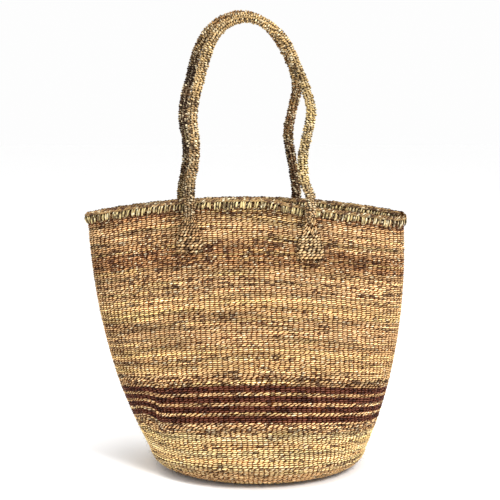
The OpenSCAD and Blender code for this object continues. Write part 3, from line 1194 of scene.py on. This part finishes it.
@dataclass
class WrappedHandle:
    """A loop handle: twining wound round a cord, bending where it meets the rim."""

    handle: Handle
    pivot_y: float = 53.0
    pivot_z: float = 322.0
    bend_below: float = 9.0
    bend_above: float = 13.0
    neck: float = 17.0
    lean: float = 0.209
    radius: float = 6.5
    wrap_depth: float = 2.4
    course: float = 2.8
    stakes: int = 7
    stake_spacing: float = 5.4
    inner_radius: float = 3.9
    steps: int = 12

    def __post_init__(self) -> None:
        """Draws the middle line, smooth through the route's points."""
        (x0, x1), z = self.handle.feet, self.pivot_z
        drops = (self.neck, self.bend_below, 0.0)
        p = np.array([*((x0, z - drop) for drop in drops), *self.handle.route,
                      *((x1, z - drop) for drop in drops[::-1])], float)
        padded = np.concatenate([[2 * p[0] - p[1]], p, [2 * p[-1] - p[-2]]])
        f = (np.arange(self.steps) / self.steps)[:, None]
        parts = []
        for a, b, c, d in zip(padded[:-3], padded[1:-2], padded[2:-1], padded[3:]):
            parts.append(0.5 * (2 * b + (c - a) * f + (2 * a - 5 * b + 4 * c - d) * f**2
                                + (3 * b - a - 3 * c + d) * f**3))
        flat = np.concatenate([*parts, [p[-1]]])
        y = self.handle.side.value * (self.pivot_y - self.lean * np.maximum(flat[:, 1] - z, 0))
        self.line = np.stack([flat[:, 0], y, flat[:, 1]], axis=1)
        self.travelled = travel(self.line)
        self.length = float(self.travelled[-1])

    def _at(self, distance: Array) -> tuple[Array, Array, Array, Array]:
        """Reads the middle line.

        Args:
            distance: Distances along the cord.

        Returns:
            The points, the run and the two directions across it.
        """
        runs = unit(np.gradient(self.line, axis=0))
        point, run = (np.stack([np.interp(distance, self.travelled, v[:, k]) for k in range(3)], axis=1)
                      for v in (self.line, runs))
        run = unit(run)
        flat = unit(np.array([[0.0, -1.0, -self.handle.side.value * self.lean]])) * np.ones((len(run), 1))
        return point, run, flat, np.cross(run, flat)

    def _lay_out(self, turns: Array) -> Layout:
        """Where the twining runs along the cord, which swells and thins a little.

        Args:
            turns: Turns from the left foot.

        Returns:
            The layout that Twining.wind asks for.
        """
        distance = turns * self.course
        point, run, flat, other = self._at(distance)
        angle, side = 2 * math.pi * turns, self.handle.side.value
        out = flat * np.cos(angle)[:, None] + other * np.sin(angle)[:, None]
        uneven = 1 + 0.035 * np.sin(distance / 9.0 + side) + 0.03 * np.sin(distance / 23.0)
        radius = (self.radius - self.wrap_depth) * uneven
        place = np.stack([distance, 0 * turns, 0 * turns + 300 * side], axis=1)
        return (point + out * radius[:, None], out, run, np.full(len(turns), self.course),
                distance / self.length, place)

    def build(self) -> None:
        """Winds the handle and lays its inner cords."""
        name = self.handle.name
        # coarser sisal, rubbed by hands: rough pale and dark stitches that change at every turn
        yarn = Sisal(f"wrapped_{name}_handle_sisal", self.handle.colours, dark="3f2a1c", pale="eedcb4",
                     dark_share=0.45, pale_share=0.5, run_mm=7.0, lift=1.75, patch=0.2,
                     stitch_tone=0.5, painted_crevice_shade="40260f").build()
        twining = Twining(self.stakes, rings_per_stitch=5, swing=1.35, rise=0.5, half_thick=1.3,
                          fill=0.44, pinch=0.42, wobble=0.34, stagger=0.4, lumps=0.16,
                          slant=Slant.UP_TO_THE_LEFT, seed=31)
        batch = StrandBatch()
        twining.wind(batch, 0, self.length / self.course, self._lay_out,
                     self.stakes * self.stake_spacing, first_strand=2000)
        wrap = batch.to_object(f"{name}_handle_twining", yarn)
        self._bend_at_rim(wrap)
        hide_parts(f"{name}_handle_wrap", f"{name}_handle_heels",
                    f"{name}_left_collar", f"{name}_right_collar")
        inner = self._inner_cords().to_object(f"{name}_handle_inner_cords", yarn)
        self._bend_at_rim(inner)
        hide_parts(f"{name}_handle_core")

    def _bend_at_rim(self, obj: bpy.types.Object) -> None:
        """Bakes a piece's place into its mesh."""
        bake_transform(obj)

    def _inner_cords(self) -> StrandBatch:
        """The cords that the twining is wound round.

        Returns:
            One cord for each stake of the twining, and a thick one in the middle.
        """
        batch = StrandBatch()
        distance = np.arange(1, self.length - 1, 4.0)
        point, run, flat, other = self._at(distance)
        place = np.stack([distance, 0 * distance, 0 * distance], axis=1)
        for k in range(self.stakes):
            angle = 2 * math.pi * k / self.stakes
            out = flat * math.cos(angle) + other * math.sin(angle)
            batch.add(point + out * self.inner_radius, out, np.cross(run, out), 1.1, 1.5, distance,
                      2500 + k, distance / self.length, place)
        batch.add(point, flat, other, 3.3, 3.3, distance, 2600, distance / self.length, place)
        return batch


@dataclass
class HandleFoot:
    """Where a handle's cord opens out into four tails that are lashed to the wall."""

    handle: Handle
    end: End
    form: BodyForm
    pivot_y: float = 53.0
    pivot_z: float = 322.0
    pitch: float = 6.6
    row: float = 3.1
    ply_turn: float = 13.0

    # for each end: the yarn's colours, the height of the tails' ends, the top of the lashing
    ENDS = {
        End.LEFT: (((0.0, "9e7e55"), (0.3, "b9986b"), (0.6, "977651"), (1.0, "c2a376")), 265.0, 303.0),
        End.RIGHT: (((0.0, "b99a6b"), (0.3, "d8ba86"), (0.6, "c2a276"), (1.0, "ddc393")), 257.0, 284.0),
    }
    # each tail's place, counted in tails from the middle of the foot
    TAILS = (-1.5, -0.5, 0.5, 1.5)
    # height, share of the fan and distance off the wall; the last height is that of the tails' ends
    FAN = ((302.0, 0.50, 3.4), (296.0, 0.66, 2.6), (288.0, 0.86, 2.2), (278.0, 1.0, 2.1),
           (268.0, 1.04, 2.0), (0.0, 1.0, 1.2))

    def __post_init__(self) -> None:
        """Takes what belongs to this end of the handle."""
        self.colours, self.foot, self.lashed = self.ENDS[self.end]
        self.x = self.handle.feet[list(End).index(self.end)]

    def build(self) -> None:
        """Lays the tails and lashes them."""
        name = f"{self.handle.name}_{self.end.value}"
        # unlaid and stitched sisal: paler than the cord, with deep shade between the rows
        yarn = Sisal(f"lashed_{name}_sisal", self.colours, dark="3f2a1c", pale="ecd8ac",
                     dark_share=0.4, pale_share=0.4, run_mm=6.0, lift=1.3, painted_crevice_shade="5a3716").build()
        for batch, piece, node in ((self._tails(), "tail_cords", "tails"),
                                   (self._lashing(), "lashing_rows", "lashing")):
            fix_to_basket(batch.to_object(f"{name}_{piece}", yarn), f"{name}_{node}")

    def _line(self, k: float) -> tuple[Array, Array]:
        """A tail's middle line from the neck down the wall.

        Args:
            k: The tail's place, counted in tails from the middle of the foot.

        Returns:
            The points and the millimetres travelled at each.
        """
        y = self.handle.side.value * self.pivot_y
        heights, fan, off = np.array(self.FAN).T
        heights[-1] = self.foot
        wall = self.form.on_wall(self.x + fan * self.pitch * k, heights, off, self.handle.side)
        start = np.array([[self.x + k * 2.1, y, self.pivot_z - 8], [self.x + k * 2.6, y * 0.985, 308.5]])
        knots = np.concatenate([start, wall])
        travelled = travel(knots)
        along = np.arange(0, travelled[-1], 1.0)
        line = np.stack([np.interp(along, travelled, knots[:, j]) for j in range(3)], axis=1)
        for _ in range(6):
            line[1:-1] = (line[:-2] + 2 * line[1:-1] + line[2:]) / 4
        return line, along

    def _directions(self, line: Array) -> tuple[Array, Array]:
        """The directions off the wall and across a tail, at each point of its line."""
        run = unit(np.gradient(line, axis=0))
        out = unit(np.cross(run, np.array([[1.0, 0, 0]])))
        out = np.where((out[:, 1] * self.handle.side.value)[:, None] < 0, -out, out)
        return out, unit(np.cross(out, run))

    def _tails(self) -> StrandBatch:
        """Four two-ply cords, side by side.

        Returns:
            The cords.
        """
        batch = StrandBatch()
        rng = np.random.default_rng(int(250 + self.x))
        for i, k in enumerate(self.TAILS):
            line, along = self._line(k)
            out, across = self._directions(line)
            for ply in (0, 1):
                phase = 2 * math.pi * along / (self.ply_turn + rng.normal()) + math.pi * ply + i
                slim = np.interp(line[:, 2], (self.lashed - 6, self.lashed, 303), (0.6, 0.9, 0.62))
                centre = (line + across * (1.5 * slim * np.cos(phase))[:, None]
                          + out * (0.7 * np.sin(phase))[:, None])
                # the relief paints shade where a ply turns under the other
                batch.add(centre, out, across, 1.2 * slim, 1.5 * slim, along,
                          3000 + 2 * i + ply + self.x, 0.2 + 0.6 * along / along[-1],
                          (0, 0, self.x), relief=0.35 + 0.65 * np.sin(phase))
        return batch

    def _lashing(self) -> StrandBatch:
        """Rows of twining that take each tail in turn and hold it to the wall.

        Returns:
            The rows' strands.
        """
        batch = StrandBatch()
        rng = np.random.default_rng(int(490 + self.x))
        lines = [self._line(k)[0] for k in self.TAILS]
        reach = 2.35
        stations = np.linspace(-reach, reach, 48)
        out, up = (np.tile(v, (len(stations), 1)) for v in ((0.0, self.handle.side.value, 0.0),
                                                            (0.0, 0.0, 1.0)))
        edge = smoothstep((reach - np.abs(stations)) / 0.5)
        for row in range(round((self.lashed - self.foot) / self.row)):
            spots = self._row_line(lines, self.foot + 1.0 + self.row * row, stations)
            turn = rng.uniform()
            for ply in (0, 1):
                phase = math.pi * (1.3 * stations + ply + turn)
                off = edge * (1.5 * np.cos(phase) + 2.0) - 1.4 * (1 - edge)
                jitter = wander(rng, stations, np.linspace(-2.4, 2.4, 9))
                centre = (spots + out * (off + 0.25 * jitter)[:, None]
                          + up * (0.55 * np.sin(phase) + 0.45 * jitter)[:, None])
                size = (0.72 + 0.28 * np.cos(phase) ** 2) * (1 + 0.10 * jitter)
                # the relief paints shade where a ply dives between the tails
                batch.add(centre, out, up, 1.15 * size, 0.50 * self.row * size,
                          (stations + 3) * self.pitch, 3500 + 2 * row + ply + self.x,
                          0.15 + 0.7 * ((row * GOLDEN_STEP) % 1.0), (0, 0, self.x + row),
                          relief=np.cos(phase) * edge)
        return batch

    def _row_line(self, lines: list[Array], z: float, stations: Array) -> Array:
        """A row's middle line across the tails and past both sides of them.

        Args:
            lines: The tails' middle lines.
            z: The row's height.
            stations: Places across the foot, counted in tails from its middle.

        Returns:
            One point for each station.
        """
        marks = []
        for line in lines:
            order = np.argsort(line[:, 2])
            marks.append([np.interp(z, line[order, 2], line[order, j]) for j in range(3)])
        marks = np.array(marks)
        spots = ((marks[0] + marks[3])[None, :] / 2
                 + stations[:, None] * ((marks[3] - marks[0]) / 3)[None, :])
        inside = np.clip(stations + 1.5, 0, 3)
        for j in range(3):
            near = np.interp(inside, np.arange(4), marks[:, j])
            spots[:, j] = np.where(np.abs(stations) <= 1.5, near, spots[:, j])
        return spots


@dataclass
class StrayFibres:
    """Short hairs that stand out of the twining."""

    form: BodyForm
    count: int = 900
    floor_gap: float = 0.3

    def build(self) -> None:
        """Scatters the hairs over the wall and the rim, and every seventh on the corner."""
        rng = np.random.default_rng(5)
        batch = StrandBatch(sides=3)
        # single bleached fibres catch the light round the outline
        straw = Sisal("loose_sisal_fibre", ((0.0, "c8a870"), (1.0, "a98a5c")), lift=1.2).build()
        s = np.linspace(0, 1, 6)[:, None]
        size = np.linspace(0.16, 0.06, 6)
        for i in range(self.count):
            t = np.full(1, rng.uniform(0.3, 1.0) if i % 7 == 0 else rng.uniform(1.0, 1.985))
            angle = self.form.angle_at(t, np.array([rng.uniform()]))
            point, out, up = (v[0] for v in self.form.frame_at(t, angle))
            round_ = np.cross(up, out)
            length = rng.uniform(2.0, 7.5)
            lean = up * rng.normal() + round_ * rng.normal() * 1.4
            curl = up * rng.normal() + round_ * rng.normal()
            centre = point - out * 0.6 + length * (out * s * 0.75 + lean * s * 0.5 + curl * s**2 * 0.35)
            centre[:, 2] = np.maximum(centre[:, 2], self.floor_gap)
            run = unit(np.gradient(centre, axis=0))
            side = unit(np.cross(run, out + 0.01))
            batch.add(centre, side, np.cross(run, side), size, size, s[:, 0] * length, 5000 + i,
                      (i * GOLDEN_STEP) % 1, (i, 0, 0))
        fix_to_basket(batch.to_object("stray_fibres", straw))


# ---------------------------------------------------------------- studio


@dataclass(frozen=True)
class Lamp:
    """A round soft lamp.

    Attributes:
        name: What it is called.
        place: Where it hangs, in metres.
        aim: The point that it faces, in metres.
        size: Its diameter in metres.
        power: Its power in watts.
    """

    name: str
    place: tuple[float, float, float]
    aim: tuple[float, float, float]
    size: float
    power: float

    def hang(self) -> None:
        """Adds the lamp to the scene."""
        light = bpy.data.lights.new(self.name, "AREA")
        light.shape, light.size, light.energy = "DISK", self.size, self.power
        lamp = bpy.data.objects.new(self.name, light)
        lamp.location = self.place
        x, y, z = (aim - place for aim, place in zip(self.aim, self.place))
        lamp.rotation_euler = (math.atan2(math.hypot(x, y), -z), 0, math.atan2(y, x) - math.pi / 2)
        bpy.context.scene.collection.objects.link(lamp)


@dataclass
class Studio:
    """White paper, soft light and the camera."""

    camera_at: tuple[float, float, float] = (-9.6, -1600.0, 440.0)
    pitch_down: float = 6.37
    lens: float = 96.0
    sensor: float = 36.0
    half_paper: float = 12.0
    room_light: float = 0.985
    lamps: tuple[Lamp, ...] = (
        Lamp("key", (1.3, -1.6, 1.8), (0, 0, 0.2), 0.9, 54.0),
        Lamp("top", (0.0, -0.5, 2.4), (0, 0, 0.1), 1.0, 20.0),
    )

    def build(self) -> None:
        """Sets the paper, the lights and the camera."""
        self._paper()
        self._light()
        camera = bpy.data.cameras.new("camera")
        camera.lens, camera.sensor_width = self.lens, self.sensor
        camera.clip_end = 50.0
        holder = bpy.data.objects.new("camera", camera)
        holder.location = [v * MM for v in self.camera_at]
        holder.rotation_euler = (math.radians(90 - self.pitch_down), 0, 0)
        bpy.context.scene.collection.objects.link(holder)
        bpy.context.scene.camera = holder

    def _paper(self) -> None:
        """Lays a floor of white paper."""
        mesh = bpy.data.meshes.new("paper")
        corners = [(x * self.half_paper, y * self.half_paper, 0)
                   for x, y in ((-1, -1), (1, -1), (1, 1), (-1, 1))]
        mesh.from_pydata(corners, [], [(0, 1, 2, 3)])
        mesh.materials.append(Paper().build())
        floor = bpy.data.objects.new("paper", mesh)
        bpy.context.scene.collection.objects.link(floor)

    def _light(self) -> None:
        """Lights an even white room, with a soft key from above on the right."""
        world = bpy.data.worlds.new("white_room")
        world.use_nodes = True
        room = world.node_tree.nodes["Background"]
        room.inputs["Color"].default_value = linear("ffffff")
        room.inputs["Strength"].default_value = self.room_light
        bpy.context.scene.world = world
        for lamp in self.lamps:
            lamp.hang()
        bpy.context.scene.view_settings.view_transform = "Standard"


def main() -> None:
    """Builds the studio, then the basket from the bottom up."""
    logging.basicConfig(level=logging.INFO, format="%(name)s %(message)s")
    Studio().build()
    form = BodyForm()
    TwinedBody(form).build()
    WhippedRim(form).build()
    for handle in HANDLES:
        WrappedHandle(handle).build()
        for end in End:
            HandleFoot(handle, end, form).build()
    StrayFibres(form).build()


if __name__ == "__main__":
    main()
